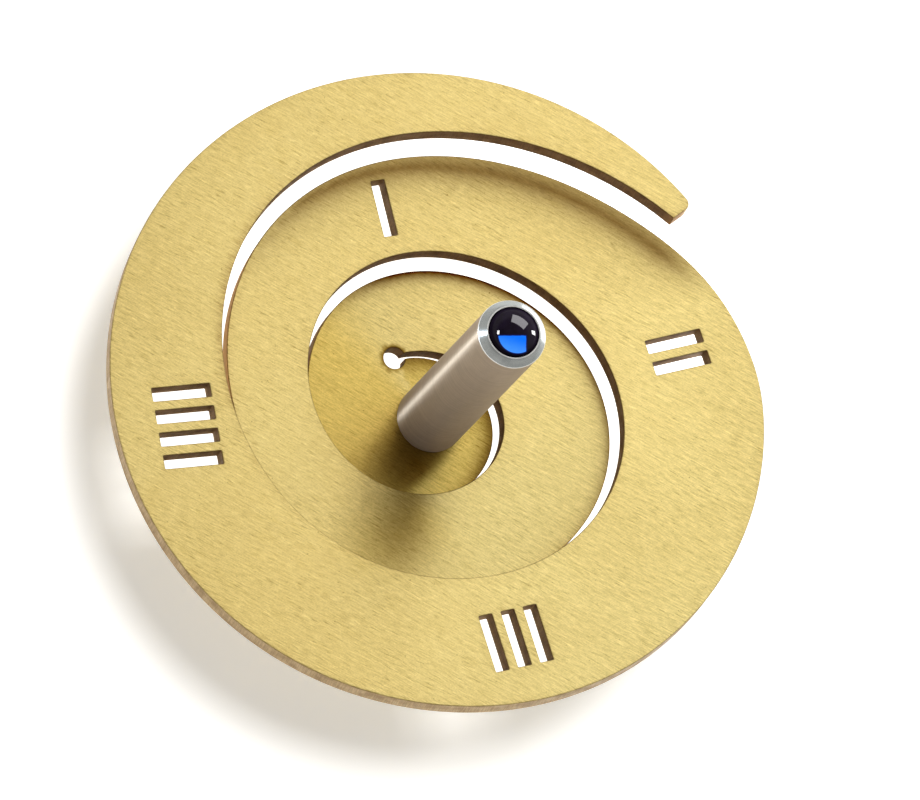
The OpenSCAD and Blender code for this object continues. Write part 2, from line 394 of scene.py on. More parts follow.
def cut_wall(name, low, high, blotch, sheen):
    """Narrow walls of the sheet: dull, with fine vertical saw lines and blotched lacquer."""
    mat = material(name)
    wall = mat.uv_mm()                                  # x along the edge, y down the wall
    saw = mat.noise(wall, scale=(9.0, 0.5, 1), detail=4, rough=0.6)
    layers = mat.noise(wall, scale=(0.25, 5.0, 1), shift=(3, 9, 0), detail=3, rough=0.6)
    blots = mat.noise(wall, scale=(0.6, 0.9, 1), shift=(9, 2, 0), detail=3)
    colour = mat.mix(mat.step(saw, over=(0.3, 0.7)), low, high)
    colour = mat.mix(mat.step(blots, over=(0.4, 0.75), to=(0, 0.5)), colour, blotch)
    colour = mat.mix(mat.step(layers, over=(0.5, 0.8), to=(0, 0.35)), colour, sheen)
    # painted highlight: the walls go lighter where the edge attribute is high, on both sides of
    # the cut a third of a turn in and at the free end
    painted_glint = mat.step(mat.attribute("edge"), over=(0.35, 0.95), to=(0.0, 0.8))
    painted_glint_gain = 2.1
    colour = mat.mix(painted_glint, colour, tuple(painted_glint_gain * c for c in high))
    relief = mat.math("MULTIPLY_ADD", layers, 0.6, saw)
    normal = mat.bump(relief, strength=0.35, distance=5e-5)
    return mat.finish(mat.shader(
        "BsdfPrincipled", Base_Color=colour, Metallic=0.8,
        Roughness=mat.step(blots, over=(0.3, 0.7), to=(0.42, 0.58)), Normal=normal))


def turned(name, low, high, rough, pitch=9.0, aniso=0.6, mottle=1.0):
    """Turned aluminium: fine rings round the axis (pitch of them per mm) and mottling."""
    mat = material(name)
    place_mm = mat.object_mm()
    x, y, z = mat.split(place_mm)
    radius = mat.hypot(x, y)
    angle = mat.math("ARCTAN2", y, x)
    around_swing = 0.35                                 # how much the rings vary round the axis
    rings = mat.noise(mat.combine(
        mat.math("MULTIPLY", mat.math("COSINE", angle), around_swing),
        mat.math("MULTIPLY", mat.math("SINE", angle), around_swing),
        mat.math("MULTIPLY", mat.math("ADD", z, radius), pitch)), detail=3, rough=0.65)
    mottling = mat.noise(place_mm, scale=(1.1, 1.1, 0.5), detail=5, rough=0.65)
    fleck = mat.noise(place_mm, scale=(6, 6, 3.2), shift=(2, 7, 4), detail=3, rough=0.6)
    dimmed = tuple(c * 0.72 for c in low)
    brighter = tuple(min(1, c * 1.35) for c in high)
    colour = mat.mix(mat.step(rings, over=(0.3, 0.7)), low, high)
    colour = mat.mix(mat.step(mottling, over=(0.38, 0.72), to=(0, 0.4 * mottle)), colour, dimmed)
    colour = mat.mix(mat.step(fleck, over=(0.6, 0.78), to=(0, 0.35 * mottle)), colour, brighter)
    normal = mat.bump(rings, strength=0.3, distance=2e-5)
    normal = mat.bump(mottling, strength=0.12 * mottle, distance=5e-5, Normal=normal)
    return mat.finish(mat.shader(
        "BsdfPrincipled", Base_Color=colour, Metallic=1.0, Anisotropic=aniso,
        Anisotropic_Rotation=0.25, Normal=normal,
        Roughness=mat.step(mottling, over=(0.3, 0.75),
                           to=(rough - 0.05 * mottle, rough + 0.1 * mottle)),
        Tangent=mat.node("Tangent", direction_type="RADIAL", axis="Z").outputs[0]))


def stone_glass():
    """Dark glass cabochon with a bright blue field low in the view, painted as a glow that stands
    for light coming back from its foil.
    """
    mat = material("blue_glass_stone")
    place_mm = mat.object_mm()
    # view-axis coordinates in mm from the girdle's centre
    from_girdle = mat.vector("SUBTRACT", place_mm, (0, 0, STEM_TOP))
    right = mat.vector("DOT_PRODUCT", from_girdle, tuple(VIEW[:, 0]))
    up = mat.vector("DOT_PRODUCT", from_girdle, tuple(VIEW[:, 1]))
    vein = mat.noise(place_mm, scale=(1.4, 1.4, 1.4), detail=3)
    wobble = mat.math("MULTIPLY", mat.math("SUBTRACT", vein, 0.5), 0.14)
    disc_right, disc_up = 0.38, -0.15
    from_disc = mat.hypot(mat.math("SUBTRACT", right, disc_right),
                          mat.math("SUBTRACT", up, disc_up))

    def painted_light_mask(grow, soft):
        """Below a flat top line, left of a straight right edge, inside a circle."""
        def within(value, limit):
            return mat.step(value, over=(limit + grow, limit + grow - soft))
        top = within(mat.math("ADD", up, wobble), -0.30)
        side = within(mat.math("ADD", right, wobble), 1.24)
        disc = within(from_disc, 1.97)
        return mat.math("MULTIPLY", mat.math("MULTIPLY", top, side), disc)

    # painted light: the blue field and its halo glow as emission, shaped in view axes
    field = painted_light_mask(grow=0.0, soft=0.10)
    halo = painted_light_mask(grow=0.16, soft=0.34)
    deep = mat.mix(mat.step(vein, over=(0.3, 0.7)), srgb(10, 6, 12), srgb(14, 9, 19))
    slant = mat.math("MULTIPLY_ADD", right, 0.35, up)
    lit = mat.mix(mat.step(slant, over=(-1.9, -0.3)), srgb(66, 148, 255), srgb(6, 108, 238))
    lit = mat.mix(mat.step(vein, over=(0.45, 0.75), to=(0, 0.35)), lit, srgb(30, 124, 250))
    glow = mat.mix(halo, (0, 0, 0), srgb(2, 16, 104))
    scratches = mat.noise(place_mm, scale=(9, 1.2, 9), turn=(0.3, 0.2, 0.7), detail=3, rough=0.6)
    body = mat.shader(
        "BsdfPrincipled", Base_Color=mat.mix(field, deep, srgb(4, 40, 110)), Roughness=0.4,
        Specular_IOR_Level=0.0, Emission_Color=mat.mix(field, glow, lit),
        Emission_Strength=0.95)
    gloss = mat.shader("BsdfGlossy",
                       Roughness=mat.step(scratches, over=(0.55, 0.75), to=(0.015, 0.05)))
    x, y, _ = mat.split(place_mm)
    # the gloss dies out towards the girdle
    gloss_share = mat.step(mat.hypot(x, y), over=(2.16, 2.34), to=(0.017, 0.002))
    return mat.finish(mat.mix_shader(gloss_share, body, gloss))


def foil():
    mat = material("foil_crinkled")
    place_mm = mat.object_mm()
    crinkles = mat.node("TexVoronoi",
                        {"Vector": mat.mapping(place_mm, scale=(1.6, 1.6, 1.6))},
                        feature="DISTANCE_TO_EDGE").outputs["Distance"]
    cloud = mat.noise(place_mm, scale=(4, 4, 4), detail=4)
    colour = mat.mix(mat.step(cloud, over=(0.3, 0.7)), srgb(214, 218, 226), srgb(240, 242, 246))
    return mat.finish(mat.shader(
        "BsdfPrincipled", Base_Color=colour, Metallic=1.0,
        Roughness=mat.step(cloud, over=(0.3, 0.7), to=(0.12, 0.25)),
        Normal=mat.bump(crinkles, strength=0.4, distance=1e-4)))


SHEET_MATS = [
    gold_sheet(),
    cut_wall("gold_sheet_rim_wall", low=srgb(146, 118, 78), high=srgb(190, 164, 120),
             blotch=srgb(126, 98, 60), sheen=srgb(214, 192, 150)),
    cut_wall("gold_sheet_cut_wall", low=srgb(120, 86, 45), high=srgb(152, 115, 66),
             blotch=srgb(98, 66, 33), sheen=srgb(174, 138, 86)),
]
FACE, RIM_WALL, CUT_WALL = range(3)
STEM_MATS = [
    turned("stem_turned", (0.50, 0.398, 0.295), (0.60, 0.488, 0.370),
           rough=0.44, aniso=0.95, mottle=0.35),
    turned("stem_bevel_polished", (0.35, 0.37, 0.36), (0.43, 0.45, 0.44),
           rough=0.19, pitch=14.0, aniso=0.5, mottle=0.5),
    turned("stem_lip_brushed", (0.42, 0.42, 0.41), (0.52, 0.52, 0.51),
           rough=0.30, pitch=14.0, aniso=0.3, mottle=0.5),
    turned("stem_edge_rubbed", (0.86, 0.85, 0.82), (0.96, 0.95, 0.93),
           rough=0.42, pitch=14.0, aniso=0.2, mottle=0.3),
    # painted shade: the seat is near black, for the shadowed gap round the stone
    turned("stem_seat_painted_shade", (0.035, 0.034, 0.036), (0.06, 0.058, 0.06),
           rough=0.55, pitch=14.0, aniso=0.0, mottle=0.5),
]
SIDE, BEVEL, LIP, RUBBED, SEAT = range(5)
FOOT_MAT = turned("foot_turned", srgb(160, 157, 150), srgb(192, 189, 182), rough=0.3, pitch=7.0)
STONE_MAT = stone_glass()
FOIL_MAT = foil()


# ---------------------------------------------------------------- the spiral's rules
# A place on the sheet is a point of the flat plan and its turns: the turns round the spiral
# from the free end. Outside the cut, at the same angle, turns are one less than inside it.
def cos_deg(angle):
    return np.cos(np.radians(angle))


def through_radii(turns):
    """Quartic through CUT_RADII at every half turn."""
    a, b, c, d, e = CUT_RADII
    x = 2 * turns
    return (a * (x - 1) * (x - 2) * (x - 3) * (x - 4) / 24
            - b * x * (x - 2) * (x - 3) * (x - 4) / 6
            + c * x * (x - 1) * (x - 3) * (x - 4) / 4
            - d * x * (x - 1) * (x - 2) * (x - 4) / 6
            + e * x * (x - 1) * (x - 2) * (x - 3) / 24)


def cut_radius(turns):
    """Middle of the cut: the quartic plus a wander that fades inward."""
    fade = np.clip(1 - turns / FADE, 0, 1.2)
    angle = 360 * turns
    return through_radii(turns) + fade * (
        2.19 * cos_deg(angle + 28.3) + 3.93 * (1 - fade) * cos_deg(angle - 135.2)
        + 0.77 * cos_deg(2 * angle + 159.4) + 0.32 * cos_deg(3 * angle + 109.1))


def kerf(turns):
    return KERF_IN + (KERF_OUT - KERF_IN) * np.clip(1 - turns / KERF_TURNS, 0, 1.5) ** 2


def outer_radius(turns):
    """Outer edge: the rim for the first turn, then the far side of the cut, blended between."""
    turns = np.asarray(turns, float)
    run = TAU * RIM_R * turns
    corner = np.sqrt(np.clip(END_R * END_R - (END_R - run) ** 2, 0, None))
    rim = np.where(run < END_R, RIM_R - END_R + corner, RIM_R)
    far = (cut_radius(turns - 1) - kerf(turns - 1) / 2
           + 0.58 * np.exp(-((turns - 0.962) / 0.046) ** 2))    # swell beside the free end
    soft = (RIM_R + far - np.sqrt((RIM_R - far) ** 2 + 0.25)) / 2
    return np.where(turns < 0.75, rim, np.where(turns < 1.1, soft, far))


def inner_radius(turns):
    turns = np.asarray(turns, float)
    return cut_radius(turns) + kerf(turns) / 2


def ease(x):
    return 1.12 * x * x / (x + 0.12)


def drawn(turns):
    """Share of the full lift: 1 at the free end, 0 at the inner end of the cut."""
    x = np.clip((np.asarray(turns, float) - FLAT) / (TURNS - FLAT), 0, 1)
    t = 1 - ease(1 - ease(x))
    return 1 - (2.79 * t - 5.222 * t * t + 3.432 * t ** 3)


def lean_normal(lift):
    normal = np.stack([-lift * LEAN_X, -lift * LEAN_Y, np.ones_like(lift)], -1)
    return normal / np.linalg.norm(normal, axis=-1, keepdims=True)


def place(plan, turns, depth):
    """Flat-plan points at a depth below the top face -> final points."""
    lift = drawn(turns)
    x, y = plan[:, 0], plan[:, 1]
    height = TOP_Z + lift * (LIFT + LEAN_X * x + LEAN_Y * y)
    top = np.column_stack([plan + lift[:, None] * DRIFT + OFFSET, height])
    return top - np.asarray(depth)[..., None] * lean_normal(lift)


def top_normal(plan, turns):
    step = 0.05

    def moved(shift):
        near = plan + shift
        change = (np.arctan2(near[:, 1], near[:, 0]) - np.arctan2(plan[:, 1], plan[:, 0])
                  + math.pi) % TAU - math.pi
        return place(near, turns + change / TAU, np.zeros(len(near)))
    along_x = moved([step, 0]) - moved([-step, 0])
    along_y = moved([0, step]) - moved([0, -step])
    normal = np.cross(along_x, along_y)
    return normal / np.linalg.norm(normal, axis=1, keepdims=True)


def turn_share(plan):
    return (np.arctan2(plan[:, 1], plan[:, 0]) / TAU) % 1.0


def find_turns(plan):
    """Turns of flat-plan points; NaN in the cut or outside."""
    radius = np.hypot(plan[:, 0], plan[:, 1])
    share = turn_share(plan)
    turns = np.full(len(plan), np.nan)
    for k in range(3):
        guess = share + k
        fits = ((guess <= TURNS) & (radius >= inner_radius(np.minimum(guess, TURNS)))
                & (radius <= outer_radius(guess)) & np.isnan(turns))
        turns[fits] = guess[fits]
    guess = np.where(share < TURNS - 2, share + 3, share + 2)
    fits = (radius <= outer_radius(guess)) & np.isnan(turns)
    turns[fits] = guess[fits]
    return turns


# ---------------------------------------------------------------- the sheet's loops
def offset_loop(loop, distance):
    """Moves a closed loop to its left, which is into the sheet."""
    edge = np.roll(loop, -1, 0) - loop
    normal = np.stack([-edge[:, 1], edge[:, 0]], 1)
    normal /= np.linalg.norm(normal, axis=1, keepdims=True)
    before = np.roll(normal, 1, 0)
    spread = np.maximum(0.35, 1 + (before * normal).sum(1))
    return loop + distance * (before + normal) / spread[:, None]


def spiral_points(radius_of, turns):
    """Points (x, y, turns) on one edge of the spiral."""
    turns = np.array(turns)
    return [(r * math.cos(TAU * t), r * math.sin(TAU * t), t)
            for r, t in zip(radius_of(turns), turns)]


def outline():
    """The one outer edge: rim, in along the cut, round the relief hole, back, the free end."""
    rim_step, cut_step = 0.72, 0.5
    corner_steps = (0, 0.02, 0.06, 0.12, 0.2, 0.3, 0.42, 0.56, 0.72, 0.88)   # in END_R
    stops = [s * END_R / (TAU * RIM_R) for s in corner_steps]
    turns = 0.005
    stops.append(turns)
    while turns < TURNS + 1:
        step = rim_step if turns < 1.0 else cut_step
        turns += step / (TAU * float(outer_radius(turns)))
        stops.append(min(turns, TURNS + 1))
    outer = spiral_points(outer_radius, stops)
    turns = TURNS
    stops = [turns]
    while turns > 0:
        turns -= cut_step / (TAU * float(inner_radius(turns)))
        stops.append(max(turns, 0.0))
    inner = spiral_points(inner_radius, stops)
    outer_end, inner_end = outer[-1], inner[0]

    centre = float(cut_radius(TURNS)) * np.array([math.cos(TAU * TURNS), math.sin(TAU * TURNS)])

    def clear_of_hole(points):
        return [p for p in points
                if math.hypot(p[0] - centre[0], p[1] - centre[1]) > RELIEF_R + 0.12]

    def hole_angle(start, towards):
        """Angle round the hole where the line from start meets it."""
        start, towards = np.array(start[:2]), np.array(towards[:2])
        low, high = 0.0, 1.0
        for _ in range(40):
            middle = (low + high) / 2
            if np.linalg.norm(start + (towards - start) * middle - centre) > RELIEF_R:
                low = middle
            else:
                high = middle
        meet = start + (towards - start) * high
        return math.atan2(meet[1] - centre[1], meet[0] - centre[0])

    outer, inner = clear_of_hole(outer), clear_of_hole(inner)
    start = hole_angle(outer[-1], outer_end)
    # round the far side of the hole, clockwise so the sheet stays on the left
    span = -((start - hole_angle(inner[0], inner_end)) % TAU)
    hole_steps = 30
    hole = []
    for k in range(hole_steps + 1):
        angle = start + span * k / hole_steps
        hole.append((centre[0] + RELIEF_R * math.cos(angle),
                     centre[1] + RELIEF_R * math.sin(angle), TURNS + 1))
    low, high = float(inner_radius(0)), RIM_R - END_R
    free_end = [(low + (high - low) * k / 6, 0.0, 0.0) for k in range(1, 6)]
    points = np.array(outer + hole + inner + free_end)
    plan = points[:, :2]
    keep = np.linalg.norm(plan - np.roll(plan, 1, 0), axis=1) > 0.015
    return plan[keep], points[keep, 2]


MARKS = ((1, 21.8, 64.3), (2, 26.4, -22.0), (3, 25.6, -112.6), (4, 26.3, 150.1))
# columns: slots in the group, radius of its middle, angle in degrees
MARK_HALF_L, MARK_HALF_W, MARK_PITCH = 3, 0.7, 2.4
MARK_CORNER = 0.10


def mark_loops():
    """Counting marks: radial slots as clockwise loops in final coordinates."""
    loops = []
    for count, radius, angle in MARKS:
        cos_a, sin_a = math.cos(math.radians(angle)), math.sin(math.radians(angle))
        for k in range(count):
            middle = (k - (count - 1) / 2) * MARK_PITCH
            corners = [np.array([radius + sx * MARK_HALF_L, middle + sy * MARK_HALF_W])
                       for sx, sy in ((-1, -1), (-1, 1), (1, 1), (1, -1))]
            points = []
            for i in range(4):
                before, corner, after = corners[i - 1], corners[i], corners[(i + 1) % 4]
                back = (before - corner) / np.linalg.norm(before - corner)
                ahead = (after - corner) / np.linalg.norm(after - corner)
                centre = corner + (back + ahead) * MARK_CORNER
                for j in range(4):
                    turn = j / 3 * math.pi / 2
                    points.append(centre - ahead * MARK_CORNER * math.cos(turn)
                                  - back * MARK_CORNER * math.sin(turn))
                length = np.linalg.norm(after - corner) - 2 * MARK_CORNER
                steps = int(round(length / 0.6))
                for j in range(1, steps):
                    points.append(corner + ahead * (MARK_CORNER + length * j / steps))
            x, y = np.array(points).T
            loops.append(np.stack([x * cos_a - y * sin_a, x * sin_a + y * cos_a], 1) + OFFSET)
    return loops


def plan_for(final, depth, turns_near):
    """Flat plan and turns of the points at a depth whose final plan position is given."""
    turns = np.full(len(final), turns_near)
    for _ in range(8):
        lift = drawn(turns)
        plan = final - lift[:, None] * DRIFT - OFFSET + depth * lean_normal(lift)[:, :2]
        share = turn_share(plan)
        turns = share + np.round(turns_near - share)
    return plan, turns


def sheet_loops():
    """Outline, bore and marks, each a list over RINGS of (plan points, turns)."""
    plan, turns = outline()
    plan = offset_loop(plan, OUTLINE_INSET)
    bore_points = 48
    angle = -TAU * np.arange(bore_points) / bore_points
    bore = np.stack([BORE_R * np.cos(angle), BORE_R * np.sin(angle)], 1) - OFFSET
    loops = [[(offset_loop(plan, inset), turns) for inset, _, _ in RINGS],
             [(offset_loop(bore, inset), np.full(bore_points, 2.9)) for inset, _, _ in RINGS]]
    for mark in mark_loops():
        rough_plan = mark.mean(0) - DRIFT * 0.9 - OFFSET
        near = float(find_turns(rough_plan[None])[0])
        loops.append([plan_for(offset_loop(mark, inset), depth, near)
                      for inset, depth, _ in RINGS])
    return loops


def triangular_grid(pitch=0.5, reach=35):
    rows = []
    for j, y in enumerate(np.arange(-reach, reach, pitch * math.sqrt(3) / 2)):
        x = np.arange(-reach, reach, pitch) + (pitch / 2 if j % 2 else 0)
        rows.append(np.stack([x, np.full_like(x, y)], 1))
    return np.concatenate(rows)


def distance_to(points, loop):
    starts, ends = loop, np.roll(loop, -1, 0)
    nearest = np.full(len(points), 99.0)
    for k in range(0, len(starts), 64):                 # in blocks, to spare memory
        start = starts[k:k + 64]
        edge = ends[k:k + 64] - start
        share = ((points[:, None] - start) * edge).sum(2) / (edge * edge).sum(1)
        foot_point = start + np.clip(share, 0, 1)[..., None] * edge
        gap = np.linalg.norm(points[:, None] - foot_point, axis=2).min(1)
        nearest = np.minimum(nearest, gap)
    return nearest


def inside(points, loop):
    x, y = points[:, 0], points[:, 1]
    odd = np.zeros(len(points), bool)
    for (ax, ay), (bx, by) in zip(loop, np.roll(loop, -1, 0)):
        crosses = (ay > y) != (by > y)
        with np.errstate(divide="ignore", invalid="ignore"):
            odd ^= crosses & (x < (bx - ax) * (y - ay) / (by - ay) + ax)
    return odd


def on_sheet(points, outlines):
    found = inside(points, outlines[0])
    for hole in outlines[1:]:
        found &= ~inside(points, hole)
    return found


# ---------------------------------------------------------------- the sheet's colouring and painted shade
def smooth(x, start, end):
    t = np.clip((x - start) / (end - start), 0, 1)
    return t * t * (3 - 2 * t)


def decay(distance, width, power=1.15):
    return np.exp(-(np.clip(distance, 0, None) / width) ** power)


def beside_stem(plan):
    """View-plane distance from the axis towards the view's lower left, and across that."""
    seen = (plan + OFFSET) @ VIEW[:2, :2]
    lee = np.array([-0.73, -0.68])
    lee /= np.linalg.norm(lee)
    return seen @ lee, seen @ np.array([-lee[1], lee[0]])


def tarnish(plan, turns):
    """Painted shade: each turn darkened beside the wall of the next turn out, as that turn's
    shadow, and the stem's shadow.
    """
    radius = np.hypot(plan[:, 0], plan[:, 1])
    from_edge = outer_radius(turns) - radius
    # turn next to the free end: darkest a little in from its edge
    extent = smooth(turns, 0.955, 0.995) * smooth(turns, 1.33, 1.21)
    core = 0.35 + 1.05 * smooth(turns, 1.28, 1.10)
    near = 1 - 0.38 * np.clip(1 - from_edge / core, 0, 1)
    shade = 0.74 * extent * decay(from_edge - core, 1.9) * near
    # next turn in
    extent = 0.92 * smooth(turns, 1.72, 1.97) * smooth(turns, 2.30, 2.17)
    core = 0.32 * smooth(turns, 1.95, 2.08)
    shade = np.maximum(shade, extent * decay(from_edge - core, 0.72))
    # clamped middle
    extent = 0.66 * smooth(turns, 2.64, 2.80)
    shade = np.maximum(shade, extent * decay(from_edge - 0.3, 1.15, 1.2))
    # painted shadow of the stem, a patch across one turn
    from_cut = radius - inner_radius(np.minimum(turns, TURNS))
    patch = (0.47 * np.exp(-((turns - 1.603) / 0.037) ** 2)
             * smooth(from_cut, 14.0, 3.0) * (turns < 2))
    # and the painted shadow in the lee of the stem, across it and along it
    along, side = beside_stem(plan)
    lee = (np.interp(side, (-3.2, -1.6, 0.3, 2.3, 3.4, 4.5), (0, 0.46, 0.80, 1, 0.96, 0))
           * np.interp(along, (0.0, 2.0, 4.0, 6.0, 8.5), (0.1, 0.62, 0.76, 0.66, 0.36))
           * (turns > 2.2))
    return np.clip(1 - (1 - shade) * (1 - patch) * (1 - lee), 0, 1)


def fringe(plan, turns, wall=False):
    """How browned the edge is on the faces, and on the walls how strong the painted highlight is:
    most along the cut a third of a turn in, on both its sides.
    """
    radius = np.hypot(plan[:, 0], plan[:, 1])
    by_cut = (turns <= TURNS) & (radius - inner_radius(np.minimum(turns, TURNS)) < 1.6)
    seam = np.exp(-((turns - 0.345) / 0.085) ** 2) * by_cut
    facing_seam = np.exp(-((turns - 1.345) / 0.10) ** 2) * (outer_radius(turns) - radius < 1.3)
    tip = np.exp(-(turns / 0.006) ** 2)
    return np.clip(0.16 + 0.84 * seam + (0.84 if wall else 0.18) * facing_seam + 0.5 * tip, 0, 1)


def painted_shade_tint(plan, turns):
    """Painted shade: the clamped middle is painted a deeper gold, and so is the sheet in the
    stem's shadow on its lee side.
    """
    along, side = beside_stem(plan)
    lee = (0.65 * np.exp(-((side - 6.5) / 4.0) ** 2)
           * smooth(along, 6.0, 9.0) * smooth(along, 21.0, 13.0))
    return np.maximum(smooth(turns, 2.20, 2.31), lee)


# ---------------------------------------------------------------- the sheet's mesh
class SheetMesh:
    EDGE_REACH = 0.95                                   # width of the browned edge
    GRID_GAP = 0.3                                      # grid points keep this far from edges
    SHARP_COS = math.cos(math.radians(24))

    def __init__(self):
        self.loops = sheet_loops()
        self.grid = triangular_grid()
        self.verts, self.plan = [], []
        self.edge, self.tarnish, self.middle = [], [], []
        self.starts = {}                                # (loop, ring) -> first vertex
        self.faces, self.mats, self.uv, self.normals = [], [], [], []

    def add_points(self, plan, turns, depth, edge):
        first = len(self.verts)
        self.verts.extend(place(plan, turns, np.full(len(plan), float(depth))))
        self.plan.extend(plan)
        self.edge.extend(edge)
        near_top = depth < 0.2
        zeros = np.zeros(len(plan))
        # painted shade and the painted deeper middle go on the top face only
        self.tarnish.extend(tarnish(plan, turns) if near_top else zeros)
        self.middle.extend(painted_shade_tint(plan, turns) if near_top else zeros)
        return first

    def add_face(self, ring, below):
        """Top or under face, triangulated between one ring of every loop."""
        outlines = [loop[ring][0] for loop in self.loops]
        grid = self.grid[on_sheet(self.grid, outlines)]
        gap = np.full(len(grid), 9.0)
        for line in outlines:
            gap = np.minimum(gap, distance_to(grid, line))
        turns = find_turns(grid)
        keep = (gap > self.GRID_GAP) & ~np.isnan(turns)
        grid, gap, turns = grid[keep], gap[keep], turns[keep]
        points = np.concatenate(outlines + [grid])
        turns = np.concatenate([loop[ring][1] for loop in self.loops] + [turns])
        edges, loop_starts, total = [], [], 0
        for line in outlines:
            count = len(line)
            edges += [(total + i, total + (i + 1) % count) for i in range(count)]
            loop_starts.append(total)
            total += count
        cdt = delaunay_2d_cdt([Vector(p) for p in points], edges, [], 0, 1e-7, True)
        triangles, origins = cdt[2], cdt[3]
        triangles = np.array([[origins[i][0] for i in t] for t in triangles])

        normal = top_normal(points, turns)
        if below:
            normal = -normal
        edge = np.concatenate([np.ones(total), np.clip(1 - gap / self.EDGE_REACH, 0, 1)])
        first = self.add_points(points, turns, RINGS[ring][1], edge * fringe(points, turns))
        for k, start in enumerate(loop_starts):
            self.starts[k, ring] = first + start
        for t in triangles[on_sheet(points[triangles].mean(1), outlines)]:
            a, b, c = points[t]
            anticlockwise = (b[0] - a[0]) * (c[1] - a[1]) - (b[1] - a[1]) * (c[0] - a[0]) > 0
            if anticlockwise == below:
                t = t[::-1]
            self.faces.append([first + i for i in t])
            self.mats.append(FACE)
            for i in t:
                self.uv.append(points[i] / UV_SPAN)
                self.normals.append(normal[i])

    def add_walls(self, index):
        """Walls and edge breaks of one loop; normals break at its sharp corners."""
        loop = self.loops[index]
        line, line_turns = loop[2]
        count = len(line)
        edge = np.roll(line, -1, 0) - line
        length = np.linalg.norm(edge, axis=1)
        run = np.concatenate([[0], np.cumsum(length)])
        edge = edge / length[:, None]
        sharp = (edge * np.roll(edge, 1, 0)).sum(1) < self.SHARP_COS
        outward = -np.stack([-edge[:, 1], edge[:, 0]], 1)
        average = outward + np.roll(outward, 1, 0)
        average /= np.linalg.norm(average, axis=1, keepdims=True)
        up = lean_normal(drawn(line_turns))
        top = top_normal(*loop[0])

        def wall_normal(out, i, ring):
            flat = np.array([out[0], out[1], 0.0])
            flat = flat - up[i] * (flat @ up[i])
            flat /= np.linalg.norm(flat)
            lean = RINGS[ring][2] * math.pi / 2
            face = top[i] if ring < 3 else -top[i]
            normal = flat * math.sin(lean) + face * math.cos(lean)
            return normal / np.linalg.norm(normal)

        for ring in range(len(RINGS) - 1):
            for i in range(count):
                j = (i + 1) % count
                if ring in (0, len(RINGS) - 2):
                    mat = FACE
                elif index == 0 and np.hypot(*line[i]) > RIM_R - 1.2:
                    mat = RIM_WALL
                else:
                    mat = CUT_WALL
                out_i = outward[i] if sharp[i] else average[i]
                out_j = outward[i] if sharp[j] else average[j]
                corners = ((ring, i, i, out_i), (ring + 1, i, i, out_i),
                           (ring + 1, j, i + 1, out_j), (ring, j, i + 1, out_j))
                self.faces.append([self.starts[index, k] + p for k, p, _, _ in corners])
                self.mats.append(mat)
                for k, p, stop, out in corners:
                    self.normals.append(wall_normal(out, p, k))
                    # walls: run along the edge, each loop 17 mm on, and depth
                    self.uv.append(loop[k][0][p] / UV_SPAN if mat == FACE else
                                   ((run[stop] + 17.0 * index) / UV_SPAN, RINGS[k][1] / UV_SPAN))

    def build(self):
        last = len(RINGS) - 1
        self.add_face(0, below=False)
        self.add_face(last, below=True)
        for index, loop in enumerate(self.loops):
            for ring in range(1, last):
                plan, turns = loop[ring]
                self.starts[index, ring] = self.add_points(
                    plan, turns, RINGS[ring][1], fringe(plan, turns, wall=ring > 1))
        for index in range(len(self.loops)):
            self.add_walls(index)
        obj = new_object("spiral_sheet", self.verts, self.faces, SHEET_MATS, self.mats,
                         self.uv, self.normals)
        for name in ("edge", "tarnish", "middle"):
            layer = obj.data.attributes.new(name, "FLOAT", "POINT")
            layer.data.foreach_set("value", np.asarray(getattr(self, name), np.float32))
        self.add_grain(obj.data)
        return obj

    def add_grain(self, mesh):
        """Second UV layer, u along the grain everywhere, for the highlight's tangent."""
        layer = mesh.uv_layers.new(name="Grain")
        corner_verts = np.zeros(len(mesh.loops), np.int32)
        mesh.loops.foreach_get("vertex_index", corner_verts)
        x, y = np.array(self.plan)[corner_verts].T
        cos_g, sin_g = math.cos(GRAIN), math.sin(GRAIN)
        grain = np.stack([x * cos_g - y * sin_g, x * sin_g + y * cos_g], 1) / UV_SPAN
        layer.data.foreach_set("uv", grain.astype(np.float32).ravel())


# ---------------------------------------------------------------- turned and set pieces
def build_stem():
    # stations (r, z, rounding): blind hole, underside, side, bevel, lip, stone's recess
    profile = fillet([
        (0, 19.5, 0), (1.5, 19.5, 0.1), (1.5, TOP_Z, 0.08),
        (ROD_R - ROD_EDGE, TOP_Z, 0.03), (ROD_R, TOP_Z + ROD_EDGE, 0.05),
        (ROD_R, 40.8, 0.15), (2.75, STEM_TOP, 0.03), (2.62, STEM_TOP, 0.015),
        (2.55, 41.43, 0.015), (2.55, SEAT_Z, 0.1), (0, SEAT_Z, 0),
    ], steps=4)

    def part(radius, z):
        if z < 40.70 and radius > 3.4 or z < 40.05:
            return SIDE                                 # and the blind hole
        # painted shade: the recess and its rim's edge break take the near-black seat
        if radius < 2.61:
            return SEAT                                 # and its rim's edge break
        if z > 41.47:
            return LIP
        return RUBBED if radius > 3.43 else BEVEL

    return lathe("handle_stem", profile, STEM_MATS, segments=160, part_of=part)


def build_stone():
    girdle, dome, wall = 2.5, 1.2, 2.495                # radius, height, radius of the side
    ball = (girdle ** 2 + dome ** 2) / (2 * dome)
    ball_z = STEM_TOP + dome - ball
    steps = 24
    profile = [(0, 40.25), (2.42, 40.25), (2.47, 40.27), (wall, 40.33), (wall, 41.44)]
    for k in range(steps):
        angle = math.asin(girdle / ball) * (1 - k / steps)
        profile.append((min(wall, ball * math.sin(angle)),
                        ball_z + ball * math.cos(angle) - 0.004))
    profile.append((0, 42.695))
    return lathe("cabochon_stone", profile, [STONE_MAT], segments=128, smooth_angle=25)


def build_foil():
    profile = [(0, SEAT_Z), (2.40, SEAT_Z), (2.445, 40.13), (2.445, 40.215),
               (2.42, 40.24), (0, 40.245)]
    return lathe("foil_disc", profile, [FOIL_MAT], segments=96)


